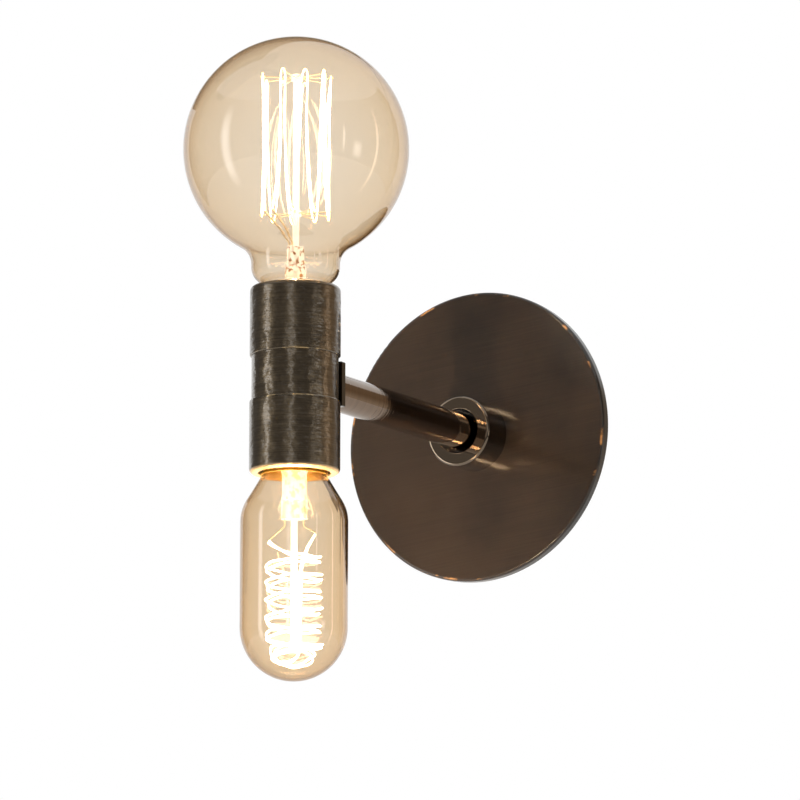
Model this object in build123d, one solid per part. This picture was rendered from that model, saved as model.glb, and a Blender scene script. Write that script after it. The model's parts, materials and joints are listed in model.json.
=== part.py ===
"""Two-light wall sconce.

A round wall plate and a screw collar sit on one straight arm. The arm carries a double-ended
lampholder body, with a globe lamp above and a tubular lamp below on one vertical axis.

Millimetres. +Z is up, the wall is the plane Y = 0 and the room lies towards -Y.
The origin is the centre of the plate's wall face.
"""

import math
import os

from build123d import *

# Wall plate
plate_dia = 127.0
plate_depth = 4.0
plate_edge_round = 1.2

# Screw collar, a ring that clamps the plate to the wall
collar_wall = 5.92
collar_height = 15.4
collar_edge_round = 1.2
collar_bore_round = 0.6

# Hub, which takes the arm's end and carries the collar's thread
hub_wall = 1.4
hub_grip = 9.0
hub_flange_dia = 25.0
hub_flange_thick = 2.4
hub_floor = 5.2

# Arm, a straight tube with a plug in its front end
arm_dia = 15.9
arm_wall = 1.5
arm_reach = 151.3
plug_length = 12.0

# Hollow threaded nipples with their nuts and split lock washers
nipple_dia = 9.7
nipple_bore = 6.6
nipple_grip = 10.0
nipple_past_nut = 0.8
nut_flats = 14.3
nut_height = 3.6
washer_dia = 15.0
washer_thick = 1.2
washer_split = 1.4

# Crossbar in the wall box, with its slots and earth screw
bar_length = 106.0
bar_width = 20.0
bar_thick = 2.0
bar_setback = 5.0
slot_spacing = 79.4
slot_length = 14.0
slot_width = 4.4
ground_offset = 24.0
ground_screw_dia = 3.8
ground_screw_length = 9.0
ground_head_dia = 7.4
ground_head_height = 2.2

# Saddle plate between the arm and the lampholder body
saddle_width = 24.0
saddle_thick = 2.7
saddle_edge_round = 0.5

# Lampholder body: a centre band round the lampholders and two cups that slip over its ends
band_wall = 1.2
band_show = 19.2
band_tuck = 8.0
cup_wall = 0.8
cup_past_cap = 0.7
cup_end_wall = 1.2
cup_end_round = 2.2
lower_cup_lip = 1.0
cup_skirt_round = 0.5
mouth_round = 0.5

# Folded frame inside the band, which carries both lampholders
frame_thick = 1.2
frame_web_width = 16.0
frame_eye_dia = 14.0
frame_screw_offset = 10.5
frame_screw_dia = 3.0
frame_screw_bite = 2.6
frame_head_dia = 5.5
frame_head_height = 2.0

# Lampholders: porcelain, brass screw shell and centre contact leaf
insulator_wall = 2.55
insulator_floor = 3.3
shell_wall = 0.5
shell_lip_width = 1.2
shell_base_width = 4.3
shell_tab_width = 5.0
contact_rise = 1.5
contact_thick = 0.5
contact_width = 5.0
contact_pad_half = 2.2
contact_ramp = 1.6
contact_foot = 4.4

# Leads inside the arm, two to each lampholder
lead_dia = 1.9
lead_spread = 2.1
lead_hole_offset = 4.8
lead_bend_radius = 4.5
lead_turn_in = 4.0
lead_rise_start = 5.2

# Screw caps of both lamps
cap_dia = 26.0
cap_wall = 0.5
cap_length = 24.0
cap_cone_start = 6.0
cap_cone_end = 2.6
cap_eye_dia = 17.2
cap_neck_overlap = 6.0
cap_insulator_top = 4.0
cap_insulator_foot = 0.9
cap_insulator_flat_dia = 13.0
tip_dia = 9.0
tip_shank_dia = 2.4

# Glass of both lamps
glass_wall = 0.8

# Globe lamp's outline: a globe on a short barrel, which rounds in to the neck
globe_dia = 95.0
globe_blend_radius = 9.5
globe_barrel_dia = 37.2
globe_barrel_height = 1.1
globe_shoulder_radius = 7.3
globe_neck_radius = 2.0

# Tubular lamp's outline, with heights from the cap's rim
tube_dia = 45.0
tube_cone_rise = 0.7
tube_shoulder_rise = 17.3
tube_dome_rise = 66.5
tube_neck_radius = 2.0
tube_shoulder_radius = 17.0

# Glass stems, which carry the wires inside the lamps
stem_wall = 1.0
stem_flare_height = 7.0
stem_flare_radius = 5.0
stem_rod_dia = 2.8
stem_button_dia = 4.6
stem_button_height = 2.6
globe_stem_dia = 9.0
globe_stem_rise = 9.5
globe_press_width = 8.0
globe_press_thick = 4.4
globe_press_height = 8.6
tube_stem_dia = 10.4
tube_stem_rise = 13.0
tube_press_width = 11.0
tube_press_thick = 4.8
tube_press_height = 8.0

# Wires inside the lamps
filament_dia = 0.7
support_dia = 0.5
support_past = 1.0
lamp_lead_dia = 0.6
lamp_lead_bend = 1.5
globe_press_leads = (1.8, 3.2)
tube_press_lead = 4.0

# Cage filament of the globe lamp: strands up and down between two rings of supports
cage_dia = 29.0
cage_bottom_rise = 32.0
cage_crown_room = 16.7
cage_strands = 18
cage_bend_radius = 0.8
cage_opening = 20.0

# Spiral filament of the tubular lamp: turns away from the cap, then one straight run back
spiral_dia = 23.6
spiral_start_rise = 30.2
spiral_pitch = 7.3
spiral_first_drop = 3.1
spiral_turns = 6.5
spiral_start_dia = 20.0
spiral_end_dia = 13.0
spiral_ramp_in = 0.5
spiral_ramp_out = 1.0
return_offset = 2.6
return_far_back = 4.0
return_near_rise = 37.0
return_end_offset = 8.8
return_end_rise = 27.2

# The sides of the lamps where the filaments' ends are, as angles about the lamp axis
globe_filament_angle = 249.0
tube_filament_angle = 211.0

# Clearances, on the radius or between faces
braze_gap = 0.05
thread_play = 0.1
turning_fit = 0.08
plate_hole_play = 0.3
slip_fit = 0.05
seal_gap = 0.1
shell_play = 0.2
cap_play = 0.35
seat_gap = 0.3
tip_gap = 0.2
wire_gap = 0.05
saddle_play = 0.1
nut_room = 1.15
frame_play = 1.1
insulator_play = 0.4
mouth_play = 0.1
neck_clear = 0.2

# Sizes that follow from what fits inside
hub_dia = arm_dia + 2 * (braze_gap + hub_wall)
collar_dia = hub_dia + 2 * (turning_fit + collar_wall)
shell_bore = cap_dia / 2 + cap_play
shell_outer = shell_bore + shell_wall
insulator_bore = shell_outer + shell_play
insulator_dia = 2 * (insulator_bore + insulator_wall)
band_bore = insulator_dia / 2 + insulator_play
band_dia = 2 * (band_bore + band_wall)
cup_bore = band_dia / 2 + slip_fit
cup_dia = 2 * (cup_bore + cup_wall)
saddle_height = band_show - 2 * saddle_play
frame_half_gap = nut_flats / 2 + nut_room
frame_disc_dia = 2 * (band_bore - frame_play)
mouth_dia = 2 * (shell_outer + shell_lip_width + mouth_play)
neck_dia = cap_dia - 2 * (cap_wall + seal_gap)

# Places along Y, from the wall box to the lamp axis
bar_front = bar_setback
bar_back = bar_setback + bar_thick
hub_floor_front = bar_front - hub_floor
collar_back = -plate_depth
collar_front = collar_back - collar_height
hub_front = collar_back - hub_grip
axis_y = -(plate_depth + arm_reach)
saddle_front = axis_y + band_dia / 2 + slip_fit
saddle_back = saddle_front + saddle_thick
web_back = axis_y + math.sqrt(band_bore**2 - (frame_web_width / 2) ** 2) - seal_gap
web_front = web_back - frame_thick
front_nut_back = web_front - washer_thick
front_nipple_end = front_nut_back - nut_height - nipple_past_nut
rear_nut_front = bar_back + washer_thick
rear_nipple_end = rear_nut_front + nut_height + nipple_past_nut

# Heights in the upper half of the body, which the lower half mirrors
insulator_seat = frame_half_gap + frame_thick
floor_top = insulator_seat + insulator_floor
tip_height = floor_top + contact_rise + tip_gap
cap_rim = tip_height + cap_length
cup_end = cap_rim + cup_past_cap
neck_bottom = cap_rim - cap_neck_overlap
shell_top = cup_end - cup_end_wall - seat_gap
insulator_top = shell_top - shell_wall


def rod_y(radius, start, end, x=0.0, z=0.0):
    """A round bar along Y."""
    return Pos(x, (start + end) / 2, z) * Rot(90, 0, 0) * Cylinder(radius, abs(end - start))


def rod_z(radius, start, end, x=0.0, y=0.0):
    """A round bar along Z."""
    return Pos(x, y, (start + end) / 2) * Cylinder(radius, abs(end - start))


def slab_y(outline, back, front):
    """A flat outline in X and Z, made solid from its back face to its front face."""
    return extrude(Plane.XZ.offset(-back) * outline, back - front)


def turned(*lines):
    """A solid of revolution about Z from lines that close an outline in X and Z."""
    return revolve(make_face(lines), Axis.Z)


def turned_outline(*points):
    """A solid of revolution about Z from (radius, height) corners."""
    return turned(Polyline(*[(radius, 0, height) for radius, height in points], close=True))


def front_ring(part, largest):
    """The largest or smallest round edge on the side of a part that faces the room."""
    circles = part.edges().filter_by(GeomType.CIRCLE).group_by(Axis.Y)[0]
    ordered = circles.sort_by(SortBy.RADIUS)
    return ordered[-1] if largest else ordered[0]


def on_lamp_axis(part, upper=True):
    """Moves a part to the lamp axis, turned over for the lower lampholder."""
    shape = part if upper else mirror(part, about=Plane.XY)
    return Pos(0, axis_y, 0) * shape


def around_axis(radius, angle, height):
    """A point at a radius and angle about the lamp axis."""
    turn = math.radians(angle)
    return Vector(radius * math.cos(turn), radius * math.sin(turn), height)


def wire_along(path, diameter):
    """A round wire swept along a path."""
    start = Plane(origin=path @ 0, z_dir=path % 0)
    return sweep(start * Circle(diameter / 2), path=path)


def biarc(start, start_way, end, end_way):
    """Two arcs that join two points and leave and meet them in the given directions."""
    across = end - start
    ways = start_way + end_way
    along = across.dot(ways)
    turn = 2 * (start_way.dot(end_way) - 1)
    if abs(turn) < 1e-9:
        reach = across.dot(across) / (2 * along)
    else:
        reach = (along - math.sqrt(along**2 - turn * across.dot(across))) / turn
    first = start + start_way * reach
    last = end - end_way * reach
    middle = (first + last) * 0.5
    middle_way = (last - first).normalized()
    return [
        Edge.make_tangent_arc(start, start_way, middle),
        Edge.make_tangent_arc(middle, middle_way, end),
    ]


def report_wire(name, path, wire, diameter):
    """Prints a wire's least gap to itself, its tightest bend and its volume against its length."""
    step = diameter / 2
    count = round(path.length / step)
    points = [tuple(path.position_at(i / count)) for i in range(count + 1)]
    apart = math.ceil(math.pi * diameter / step)
    least = min(
        math.dist(points[i], points[j])
        for i in range(len(points))
        for j in range(i + apart, len(points))
    )
    bends = [edge.radius for edge in path.edges().filter_by(GeomType.CIRCLE)]
    section = math.pi * diameter**2 / 4
    share = wire.volume / (section * path.length)
    gap = least - diameter
    print(f"{name}: gap {gap:.2f} mm, tightest bend {min(bends):.2f} mm, volume share {share:.4f}")


# Wall side
def make_wall_plate():
    blank = rod_y(plate_dia / 2, -plate_depth, 0)
    blank = fillet(front_ring(blank, True), plate_edge_round)
    return blank - rod_y(hub_dia / 2 + plate_hole_play, -plate_depth, 0)


def make_collar():
    ring = rod_y(collar_dia / 2, collar_back, collar_front)
    ring -= rod_y(hub_dia / 2 + turning_fit, collar_back, collar_front)
    ring = fillet(front_ring(ring, True), collar_edge_round)
    return fillet(front_ring(ring, False), collar_bore_round)


def make_hub():
    barrel = rod_y(hub_dia / 2, bar_front, hub_front)
    flange = rod_y(hub_flange_dia / 2, bar_front, bar_front - hub_flange_thick)
    arm_seat = rod_y(arm_dia / 2 + braze_gap, hub_floor_front, hub_front)
    thread = rod_y(nipple_dia / 2 + thread_play, bar_front, hub_floor_front)
    return barrel + flange - arm_seat - thread


def make_nipple(start, end):
    return rod_y(nipple_dia / 2, start, end) - rod_y(nipple_bore / 2, start, end)


def make_hex_nut(back, front):
    outline = RegularPolygon(nut_flats / 2, 6, major_radius=False)
    outline -= Circle(nipple_dia / 2 + thread_play)
    return slab_y(outline, back, front)


def make_lock_washer(back, front):
    outline = Circle(washer_dia / 2) - Circle(nipple_dia / 2 + thread_play)
    outline -= Pos(washer_dia / 4, 0) * Rectangle(washer_dia / 2, washer_split)
    return slab_y(outline, back, front)


def make_crossbar():
    outline = SlotOverall(bar_length, bar_width)
    outline -= Circle(nipple_dia / 2 + thread_play)
    for side in (-1, 1):
        outline -= Pos(side * slot_spacing / 2, 0) * SlotOverall(slot_length, slot_width)
    outline -= Pos(ground_offset, 0) * Circle(ground_screw_dia / 2 + thread_play)
    return slab_y(outline, bar_back, bar_front)


def make_ground_screw():
    head = rod_y(ground_head_dia / 2, bar_front, bar_front - ground_head_height, ground_offset)
    shank = rod_y(ground_screw_dia / 2, bar_front + ground_screw_length, bar_front, ground_offset)
    return head + shank


# Arm and body
def make_arm_tube():
    outside = rod_y(arm_dia / 2, hub_floor_front, saddle_back)
    return outside - rod_y(arm_dia / 2 - arm_wall, hub_floor_front, saddle_back)


def make_arm_plug():
    back = saddle_back + plug_length
    plug = rod_y(arm_dia / 2 - arm_wall - braze_gap, back, saddle_back)
    return plug - rod_y(nipple_dia / 2 + thread_play, back, saddle_back)


def make_saddle_plate():
    outline = RectangleRounded(saddle_width, saddle_height, saddle_edge_round)
    outline -= Circle(nipple_dia / 2 + thread_play)
    return slab_y(outline, saddle_back, saddle_front)


def make_center_band():
    reach = band_show / 2 + band_tuck
    band = rod_z(band_dia / 2, -reach, reach) - rod_z(band_bore, -reach, reach)
    back_hole = rod_y(nipple_dia / 2 + thread_play, 0, band_dia)
    return on_lamp_axis(band - back_hole)


def make_socket_frame():
    web_outline = Rectangle(frame_web_width, 2 * insulator_seat)
    web_outline -= Circle(nipple_dia / 2 + thread_play)
    frame = slab_y(web_outline, web_back - axis_y, web_front - axis_y)
    disc = Circle(frame_disc_dia / 2) - Circle(frame_eye_dia / 2)
    for side in (-1, 1):
        disc -= Pos(side * frame_screw_offset, 0) * Circle(frame_screw_dia / 2 + thread_play)
    behind_web = Pos(0, web_back - axis_y + frame_disc_dia / 2) * Rectangle(frame_disc_dia, frame_disc_dia)
    disc -= behind_web
    upper = extrude(Pos(0, 0, frame_half_gap) * disc, frame_thick)
    return on_lamp_axis(frame + upper + mirror(upper, about=Plane.XY))


def make_frame_screws():
    screws = []
    for upper in (True, False):
        for side in (-1, 1):
            x = side * frame_screw_offset
            head = rod_z(frame_head_dia / 2, frame_half_gap - frame_head_height, frame_half_gap, x)
            shank = rod_z(frame_screw_dia / 2, frame_half_gap, insulator_seat + frame_screw_bite, x)
            screws.append(on_lamp_axis(head + shank, upper))
    return Compound(screws)


def make_cup(upper):
    start = band_show / 2
    end = cup_end if upper else cup_end + lower_cup_lip
    cup = rod_z(cup_dia / 2, start, end)
    cup = fillet(cup.edges().group_by(Axis.Z)[-1], cup_end_round)
    cup = fillet(cup.edges().group_by(Axis.Z)[0], cup_skirt_round)
    cup -= rod_z(cup_bore, start, cup_end - cup_end_wall)
    cup -= rod_z(mouth_dia / 2, start, end)
    mouth_edge = cup.edges().filter_by(GeomType.CIRCLE).group_by(Axis.Z)[-1].sort_by(SortBy.RADIUS)[0]
    return on_lamp_axis(fillet(mouth_edge, mouth_round), upper)


# Lampholders
def make_insulator(upper):
    body = rod_z(insulator_dia / 2, insulator_seat, insulator_top)
    body -= rod_z(insulator_bore, floor_top, insulator_top)
    for side in (-1, 1):
        body -= rod_z(lead_dia / 2 + thread_play, insulator_seat, floor_top, side * lead_hole_offset)
        body -= rod_z(frame_screw_dia / 2 + thread_play, insulator_seat, floor_top, side * frame_screw_offset)
    return on_lamp_axis(body, upper)


def make_screw_shell(upper):
    wall = rod_z(shell_outer, floor_top, shell_top) - rod_z(shell_bore, floor_top, shell_top)
    lip = rod_z(shell_outer + shell_lip_width, insulator_top, shell_top)
    lip -= rod_z(shell_outer, insulator_top, shell_top)
    base_top = floor_top + shell_wall
    base = rod_z(shell_bore, floor_top, base_top)
    base -= rod_z(shell_bore - shell_base_width, floor_top, base_top)
    tab_start = lead_hole_offset - lead_dia / 2
    tab_end = shell_bore - shell_base_width / 2
    tab = Pos((tab_start + tab_end) / 2, 0, floor_top + shell_wall / 2)
    tab *= Box(tab_end - tab_start, shell_tab_width, shell_wall)
    return on_lamp_axis(wall + lip + base + tab, upper)


def make_center_contact(upper):
    top = floor_top + contact_rise
    ramp_end = -contact_pad_half - contact_ramp
    foot_end = ramp_end - contact_foot
    under = top - contact_thick
    profile = Polyline(
        (contact_pad_half, 0, under),
        (contact_pad_half, 0, top),
        (-contact_pad_half, 0, top),
        (ramp_end, 0, floor_top + contact_thick),
        (foot_end, 0, floor_top + contact_thick),
        (foot_end, 0, floor_top),
        (ramp_end, 0, floor_top),
        (-contact_pad_half, 0, under),
        close=True,
    )
    leaf = extrude(make_face(profile), contact_width / 2, dir=(0, 1, 0), both=True)
    return on_lamp_axis(leaf, upper)


def make_lead(side, upper):
    level = 1 if upper else -1
    x_start = side * lead_spread / 2
    z_start = level * lead_spread / 2
    x_end = side * lead_hole_offset
    path = FilletPolyline(
        (x_start, rear_nipple_end, z_start),
        (x_start, axis_y + lead_turn_in, z_start),
        (x_end, axis_y, level * lead_rise_start),
        (x_end, axis_y, level * (floor_top - wire_gap)),
        radius=lead_bend_radius,
    )
    return wire_along(path, lead_dia)


# Lamp caps
def make_cap(upper):
    radius = cap_dia / 2
    eye = cap_eye_dia / 2
    cone_start = tip_height + cap_cone_start
    cone_end = tip_height + cap_cone_end
    shell = turned_outline(
        (radius, cap_rim),
        (radius, cone_start),
        (eye, cone_end),
        (eye, cone_end + cap_wall),
        (radius - cap_wall, cone_start + cap_wall),
        (radius - cap_wall, cap_rim),
    )
    return on_lamp_axis(shell, upper)


def make_cap_insulator(upper):
    edge = cap_eye_dia / 2 - seal_gap
    foot = tip_height + cap_insulator_foot
    hole = tip_shank_dia / 2 + seal_gap
    button = turned_outline(
        (hole, foot),
        (cap_insulator_flat_dia / 2, foot),
        (edge, tip_height + cap_cone_end),
        (edge, tip_height + cap_insulator_top),
        (hole, tip_height + cap_insulator_top),
    )
    return on_lamp_axis(button, upper)


def make_cap_tip(upper):
    foot = tip_height + cap_insulator_foot
    button = rod_z(tip_dia / 2, tip_height, foot)
    shank = rod_z(tip_shank_dia / 2, foot, tip_height + cap_insulator_top)
    return on_lamp_axis(button + shank, upper)


# Lamp glass
def arc_between(first, last, center, radius):
    """The short arc between two points of an outline, about a centre."""
    middle = ((Vector(first) + Vector(last)) * 0.5 - center).normalized() * radius + center
    return ThreePointArc(first, middle, last)


def globe_centers():
    """The centres of the arcs in the globe's outline: neck, shoulder, blend and globe."""
    barrel = globe_barrel_dia / 2
    neck_center = Vector(neck_dia / 2 + globe_neck_radius, 0, cap_rim + neck_clear)
    shoulder_x = barrel - globe_shoulder_radius
    neck_span = globe_shoulder_radius + globe_neck_radius
    neck_climb = math.sqrt(neck_span**2 - (neck_center.X - shoulder_x) ** 2)
    shoulder_center = Vector(shoulder_x, 0, neck_center.Z + neck_climb)
    blend_center = Vector(barrel + globe_blend_radius, 0, shoulder_center.Z + globe_barrel_height)
    globe_span = globe_dia / 2 + globe_blend_radius
    globe_climb = math.sqrt(globe_span**2 - blend_center.X**2)
    globe_center = Vector(0, 0, blend_center.Z + globe_climb)
    return neck_center, shoulder_center, blend_center, globe_center


def globe_solid(inset):
    """The globe's outline as a solid, drawn in by an inset, with its open end at the neck."""
    neck_center, shoulder_center, blend_center, globe_center = globe_centers()
    globe_reach = globe_dia / 2 - inset
    shoulder_reach = globe_shoulder_radius - inset
    barrel = globe_barrel_dia / 2 - inset
    neck = neck_dia / 2 - inset
    pole = globe_center + Vector(0, 0, globe_reach)
    globe_end = globe_center + (blend_center - globe_center).normalized() * globe_reach
    barrel_top = Vector(barrel, 0, blend_center.Z)
    barrel_end = Vector(barrel, 0, shoulder_center.Z)
    shoulder_end = shoulder_center + (neck_center - shoulder_center).normalized() * shoulder_reach
    neck_top = Vector(neck, 0, neck_center.Z)
    neck_end = Vector(neck, 0, neck_bottom)
    axis_end = Vector(0, 0, neck_bottom)
    return turned(
        arc_between(pole, globe_end, globe_center, globe_reach),
        arc_between(globe_end, barrel_top, blend_center, globe_blend_radius + inset),
        Line(barrel_top, barrel_end),
        arc_between(barrel_end, shoulder_end, shoulder_center, shoulder_reach),
        arc_between(shoulder_end, neck_top, neck_center, globe_neck_radius + inset),
        Polyline(neck_top, neck_end, axis_end, pole),
    )


def tube_solid(inset):
    """The tubular lamp's outline as a solid, drawn in by an inset, with its open end at the neck."""
    neck = neck_dia / 2
    radius = tube_dia / 2
    cone = math.atan2(radius - neck, tube_shoulder_rise - tube_cone_rise)
    corner_shift = inset * math.tan(cone / 2)
    dome_center = Vector(0, 0, cap_rim + tube_dome_rise)
    dome_start = dome_center + Vector(radius - inset, 0, 0)
    pole = dome_center + Vector(0, 0, radius - inset)
    side = FilletPolyline(
        (neck - inset, 0, neck_bottom),
        (neck - inset, 0, cap_rim + tube_cone_rise + corner_shift),
        (radius - inset, 0, cap_rim + tube_shoulder_rise + corner_shift),
        dome_start,
        radius=[tube_neck_radius + inset, tube_shoulder_radius - inset],
    )
    dome = arc_between(dome_start, pole, dome_center, radius - inset)
    return turned(side, dome, Polyline(pole, (0, 0, neck_bottom), (neck - inset, 0, neck_bottom)))


def make_stem(diameter, rise, press_width, press_thick, press_height, press_angle, rod_end, buttons):
    """A flared glass tube, closed by a flat press, with a rod and buttons that hold the supports."""
    flare = neck_dia / 2 - glass_wall - seal_gap
    press_start = cap_rim + rise
    press_end = press_start + press_height
    outer = diameter / 2
    waist = neck_bottom + stem_flare_height
    outside = FilletPolyline(
        (flare, 0, neck_bottom),
        (outer, 0, waist),
        (outer, 0, press_start),
        radius=[stem_flare_radius],
    )
    inside = FilletPolyline(
        (flare - stem_wall, 0, neck_bottom),
        (outer - stem_wall, 0, waist),
        (outer - stem_wall, 0, press_start),
        radius=[stem_flare_radius],
    )
    base = Polyline(outside @ 0, inside @ 0)
    top = Polyline(outside @ 1, inside @ 1)
    stem = turned(outside, base, inside, top)
    press = Pos(0, 0, press_start - stem_wall) * SlotOverall(press_width, press_thick)
    stem += rod_z(outer, press_start - stem_wall, press_start)
    stem += extrude(Rot(0, 0, press_angle) * press, press_height + stem_wall)
    stem += rod_z(stem_rod_dia / 2, press_end, rod_end)
    for height in buttons:
        half = stem_button_height / 2
        stem += rod_z(stem_button_dia / 2, height - half, height + half)
    return stem


# Filaments, as paths about the lamp axis
cage_bottom = cap_rim + cage_bottom_rise
cage_top = globe_centers()[-1].Z + globe_dia / 2 - cage_crown_room
cage_step = (360.0 - cage_opening) / cage_strands
cage_first = globe_filament_angle + cage_opening / 2


def cage_corner(index):
    """The middle of a bend of the cage, at the top for odd numbers and at the bottom for even ones."""
    height = cage_top if index % 2 else cage_bottom
    return around_axis(cage_dia / 2, cage_first + index * cage_step, height)


def cage_path():
    edges = []
    position = cage_corner(0)
    for index in range(1, cage_strands + 1):
        way = Vector(0, 0, 1 if index % 2 else -1)
        corner = cage_corner(index)
        sideways = around_axis(1, cage_first + index * cage_step + 90, 0)
        last = index == cage_strands
        arrival = corner if last else corner - sideways * cage_bend_radius
        edges += biarc(position, way, arrival, way)
        if not last:
            crown = corner + way * cage_bend_radius
            position = corner + sideways * cage_bend_radius
            edges.append(Edge.make_three_point_arc(arrival, crown, position))
    return Wire(edges)


def eased(share):
    """Runs smoothly from 0 to 1."""
    return (1 - math.cos(math.pi * min(max(share, 0.0), 1.0))) / 2


def spiral_height(turn):
    """The spiral's distance from the crossing of arm and lamp axis, with a steeper start."""
    start = cap_rim + spiral_start_rise
    return start + spiral_pitch * turn + spiral_first_drop * eased(turn / spiral_ramp_in)


def spiral_angle(turn):
    """The spiral's angle about the lamp axis."""
    return tube_filament_angle - 360 * turn


def spiral_point(turn):
    """A point of the spiral, which widens from its first end and closes in at its last."""
    radius = spiral_start_dia / 2
    radius += (spiral_dia - spiral_start_dia) / 2 * eased(turn / spiral_ramp_in)
    closing = eased((turn - spiral_turns + spiral_ramp_out) / spiral_ramp_out)
    radius += (spiral_end_dia - spiral_dia) / 2 * closing
    return around_axis(radius, spiral_angle(turn), spiral_height(turn))


def spiral_way(turn):
    """The spiral's direction at a turn."""
    step = 1e-4
    return (spiral_point(turn + step) - spiral_point(turn - step)).normalized()


def spiral_path():
    quarters = round(spiral_turns * 4)
    edges = []
    for quarter in range(quarters):
        start = quarter / 4
        end = (quarter + 1) / 4
        edges += biarc(spiral_point(start), spiral_way(start), spiral_point(end), spiral_way(end))
    opposite = tube_filament_angle + 180
    far_end = spiral_height(spiral_turns) - return_far_back
    back_start = around_axis(return_offset, opposite, far_end)
    back_end = around_axis(return_offset, opposite, cap_rim + return_near_rise)
    finish = around_axis(return_end_offset, opposite, cap_rim + return_end_rise)
    down = Vector(0, 0, -1)
    finish_way = (around_axis(1, opposite, -1)).normalized()
    last = quarters / 4
    edges += biarc(spiral_point(last), spiral_way(last), back_start, down)
    edges.append(Edge.make_line(back_start, back_end))
    edges += biarc(back_end, down, finish, finish_way)
    return Wire(edges)


def spoke(angle, start, end, height):
    """A straight support wire that stands out from the stem's rod."""
    path = Edge.make_line(around_axis(start, angle, height), around_axis(end, angle, height))
    return wire_along(path, support_dia)


def make_globe_supports():
    start = stem_button_dia / 2 + wire_gap
    end = cage_dia / 2 + support_past
    spokes = []
    for index in range(1, cage_strands):
        height = cage_corner(index).Z
        spokes.append(spoke(cage_first + index * cage_step, start, end, height))
    return Compound(spokes)


def make_tube_supports():
    start = stem_rod_dia / 2 + wire_gap
    below = (filament_dia + support_dia) / 2 + wire_gap
    spokes = []
    for half_turn in range(1, round(2 * (spiral_turns - spiral_ramp_out)) + 1):
        turn = half_turn / 2 + 0.25
        point = spiral_point(turn)
        reach = math.hypot(point.X, point.Y) + support_past
        spokes.append(spoke(spiral_angle(turn), start, reach, point.Z - below))
    return Compound(spokes)


def make_lamp_lead(start, end):
    """A lead from the press to a filament's end, with a short upright start."""
    upright = start + Vector(0, 0, 2 * lamp_lead_bend)
    path = FilletPolyline(start, upright, end, radius=lamp_lead_bend)
    return wire_along(path, lamp_lead_dia)


def make_globe_leads():
    press_top = cap_rim + globe_stem_rise + globe_press_height + wire_gap
    leads = []
    for offset, corner in zip(globe_press_leads, (0, cage_strands)):
        start = around_axis(offset, globe_filament_angle, press_top)
        end = cage_corner(corner) - Vector(0, 0, wire_gap + lamp_lead_dia / 2)
        leads.append(make_lamp_lead(start, end))
    return Compound(leads)


def make_tube_leads(path):
    press_top = cap_rim + tube_stem_rise + tube_press_height + wire_gap
    leads = []
    for side, filament_end in ((0, path @ 0), (180, path @ 1)):
        start = around_axis(tube_press_lead, tube_filament_angle + side, press_top)
        end = filament_end - Vector(0, 0, wire_gap + (filament_dia + lamp_lead_dia) / 2)
        leads.append(make_lamp_lead(start, end))
    return Compound(leads)


cage = cage_path()
cage_wire = wire_along(cage, filament_dia)
report_wire("cage filament", cage, cage_wire, filament_dia)
spiral = spiral_path()
spiral_wire = wire_along(spiral, filament_dia)
report_wire("spiral filament", spiral, spiral_wire, filament_dia)

globe_stem = make_stem(
    globe_stem_dia,
    globe_stem_rise,
    globe_press_width,
    globe_press_thick,
    globe_press_height,
    globe_filament_angle,
    cage_top + stem_button_height / 2,
    (cage_bottom, cage_top),
)
tube_stem = make_stem(
    tube_stem_dia,
    tube_stem_rise,
    tube_press_width,
    tube_press_thick,
    tube_press_height,
    tube_filament_angle,
    spiral_height(spiral_turns - spiral_ramp_out / 2),
    (),
)

nodes = {
    "wall_plate": make_wall_plate(),
    "collar": make_collar(),
    "hub": make_hub(),
    "crossbar": make_crossbar(),
    "ground_screw": make_ground_screw(),
    "rear_nipple": make_nipple(rear_nipple_end, hub_floor_front),
    "rear_lock_washer": make_lock_washer(rear_nut_front, bar_back),
    "rear_hex_nut": make_hex_nut(rear_nut_front + nut_height, rear_nut_front),
    "arm_tube": make_arm_tube(),
    "arm_plug": make_arm_plug(),
    "front_nipple": make_nipple(saddle_back + nipple_grip, front_nipple_end),
    "front_lock_washer": make_lock_washer(web_front, front_nut_back),
    "front_hex_nut": make_hex_nut(front_nut_back, front_nut_back - nut_height),
    "saddle_plate": make_saddle_plate(),
    "center_band": make_center_band(),
    "socket_frame": make_socket_frame(),
    "frame_screws": make_frame_screws(),
    "globe_envelope": on_lamp_axis(globe_solid(0) - globe_solid(glass_wall)),
    "globe_stem": on_lamp_axis(globe_stem),
    "globe_lead_wires": on_lamp_axis(make_globe_leads()),
    "globe_supports": on_lamp_axis(make_globe_supports()),
    "globe_filament": on_lamp_axis(cage_wire),
    "tube_envelope": on_lamp_axis(tube_solid(0) - tube_solid(glass_wall), upper=False),
    "tube_stem": on_lamp_axis(tube_stem, upper=False),
    "tube_lead_wires": on_lamp_axis(make_tube_leads(spiral), upper=False),
    "tube_supports": on_lamp_axis(make_tube_supports(), upper=False),
    "tube_filament": on_lamp_axis(spiral_wire, upper=False),
}
for half, lamp, upper in (("upper", "globe", True), ("lower", "tube", False)):
    nodes[f"{half}_cup"] = make_cup(upper)
    nodes[f"{half}_insulator"] = make_insulator(upper)
    nodes[f"{half}_screw_shell"] = make_screw_shell(upper)
    nodes[f"{half}_center_contact"] = make_center_contact(upper)
    nodes[f"{half}_hot_lead"] = make_lead(-1, upper)
    nodes[f"{half}_neutral_lead"] = make_lead(1, upper)
    nodes[f"{lamp}_cap"] = make_cap(upper)
    nodes[f"{lamp}_cap_insulator"] = make_cap_insulator(upper)
    nodes[f"{lamp}_cap_tip"] = make_cap_tip(upper)

os.makedirs("parts", exist_ok=True)
for name, shape in nodes.items():
    export_step(shape, f"parts/{name}.step")
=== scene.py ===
import json
import math
import random

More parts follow.
